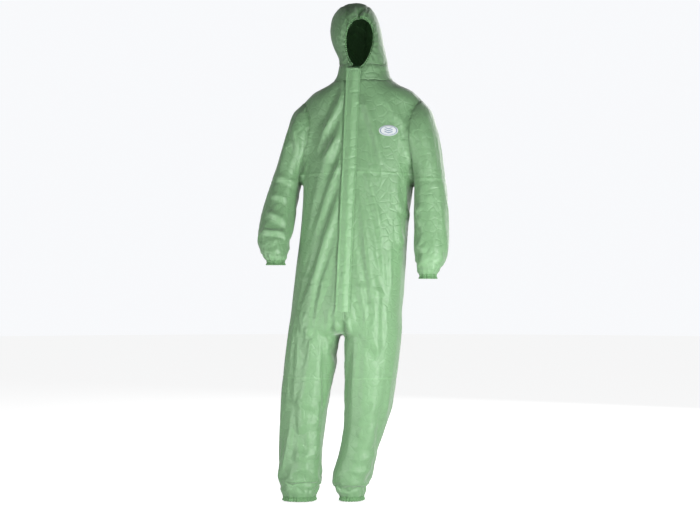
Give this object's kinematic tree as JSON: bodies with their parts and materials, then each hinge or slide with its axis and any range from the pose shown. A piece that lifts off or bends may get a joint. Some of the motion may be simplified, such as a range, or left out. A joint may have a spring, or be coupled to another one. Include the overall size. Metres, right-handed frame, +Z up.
{
  "type": "chemical protective suit",
  "caption": "Hooded protective coverall in green non-woven cloth, standing as worn, with zip, storm flap and elastic at face, waist, wrists and ankles.",
  "frame": {"origin": "middle of the neck seam, where the suit's length is measured from", "axes": "+Z up along the wearer, -Y out of the chest, +X towards the wearer's left arm"},
  "size_m": [0.6932, 0.3161, 1.788],
  "materials": {
    "cloth": "matt non-woven cloth, point bonded, slightly silky",
    "flap_cloth": "two layers of the same non-woven cloth",
    "elastic": "matt knitted elastic",
    "zip_tape": "matt woven tape",
    "zip_plastic": "satin nylon",
    "label": "matt woven label with no print",
    "badge": null,
    "liner": "siliconed paper",
    "adhesive": "tacky adhesive tape"
  },
  "bodies": {
    "torso": {"front_upper_left": "cloth", "front_upper_right": "cloth", "front_lower_left": "cloth", "front_lower_right": "cloth", "front_seat_left": "cloth", "front_seat_right": "cloth", "back_upper_left": "cloth", "back_upper_right": "cloth", "back_lower_left": "cloth", "back_lower_right": "cloth", "hood_collar_left": "cloth", "hood_collar_right": "cloth", "zip_tape_left": "zip_tape", "zip_tape_right": "zip_tape", "zip_coil_left": "zip_plastic", "zip_coil_right": "zip_plastic", "zip_top_stop_left": "zip_plastic", "zip_top_stop_right": "zip_plastic", "zip_bottom_stop": "zip_plastic", "waist_elastic": "elastic", "neck_label": "label", "chest_badge": "badge"},
    "slider": {"zip_slider": "zip_plastic"},
    "pull": {"zip_pull": "zip_plastic"},
    "flap": {"storm_flap": "flap_cloth", "flap_sewn_edge": "flap_cloth", "flap_free_edge": "flap_cloth", "flap_adhesive_strip": "adhesive", "flap_release_liner": "liner"},
    "hood": {"hood_side_left": "cloth", "hood_side_right": "cloth", "hood_centre_strip": "cloth", "face_elastic": "elastic"},
    "left_upper_arm": {"left_upper_sleeve": "cloth"},
    "left_forearm": {"left_lower_sleeve": "cloth", "left_cuff_elastic": "elastic"},
    "left_thigh_part": {"left_thigh": "cloth"},
    "left_shin_part": {"left_shin": "cloth", "left_ankle_elastic": "elastic"},
    "right_upper_arm": {"right_upper_sleeve": "cloth"},
    "right_forearm": {"right_lower_sleeve": "cloth", "right_cuff_elastic": "elastic"},
    "right_thigh_part": {"right_thigh": "cloth"},
    "right_shin_part": {"right_shin": "cloth", "right_ankle_elastic": "elastic"}
  },
  "joints": [
    {"name": "zip_travel", "type": "slide", "parent": "torso", "child": "slider", "axis": [-0.0379, -0.0514, -0.998], "range_m": [0, 0.8162]},
    {"name": "pull_swing", "type": "hinge", "parent": "slider", "child": "pull", "pos_m": [-0.02175, -0.11503, 0.02214], "axis": [-0.9993, 0.0019, 0.0379], "range_deg": [0, 6]},
    {"name": "flap_opening", "type": "hinge", "parent": "torso", "child": "flap", "pos_m": [-0.02801, -0.15701, -0.80087], "axis": [0.0379, 0.0514, 0.998], "range_deg": [0, 150]},
    {"name": "hood_fold_back", "type": "hinge", "parent": "torso", "child": "hood", "pos_m": [0.00385, 0.078, 0.055], "axis": [-1, 0, 0], "range_deg": [0, 105]},
    {"name": "left_shoulder", "type": "hinge", "parent": "torso", "child": "left_upper_arm", "pos_m": [0.2098, 0, -0.06], "axis": [0, -1, 0], "range_deg": [0, 80]},
    {"name": "left_elbow", "type": "hinge", "parent": "left_upper_arm", "child": "left_forearm", "pos_m": [0.23764, -0.105, -0.348], "axis": [-1, 0, 0], "range_deg": [0, 100]},
    {"name": "left_hip", "type": "hinge", "parent": "torso", "child": "left_thigh_part", "pos_m": [0.037, -0.141, -0.9], "axis": [-1, 0, 0], "range_deg": [0, 75]},
    {"name": "left_knee", "type": "hinge", "parent": "left_thigh_part", "child": "left_shin_part", "pos_m": [0.0265, 0.104, -1.05], "axis": [1, 0, 0], "range_deg": [0, 95]},
    {"name": "right_shoulder", "type": "hinge", "parent": "torso", "child": "right_upper_arm", "pos_m": [-0.2182, 0, -0.06], "axis": [0, 1, 0], "range_deg": [0, 80]},
    {"name": "right_elbow", "type": "hinge", "parent": "right_upper_arm", "child": "right_forearm", "pos_m": [-0.28636, -0.105, -0.348], "axis": [-1, 0, 0], "range_deg": [0, 90]},
    {"name": "right_hip", "type": "hinge", "parent": "torso", "child": "right_thigh_part", "pos_m": [-0.163, -0.141, -0.9], "axis": [-1, 0, 0], "range_deg": [0, 75]},
    {"name": "right_knee", "type": "hinge", "parent": "right_thigh_part", "child": "right_shin_part", "pos_m": [-0.1735, 0.104, -1.05], "axis": [1, 0, 0], "range_deg": [0, 95]}
  ]
}
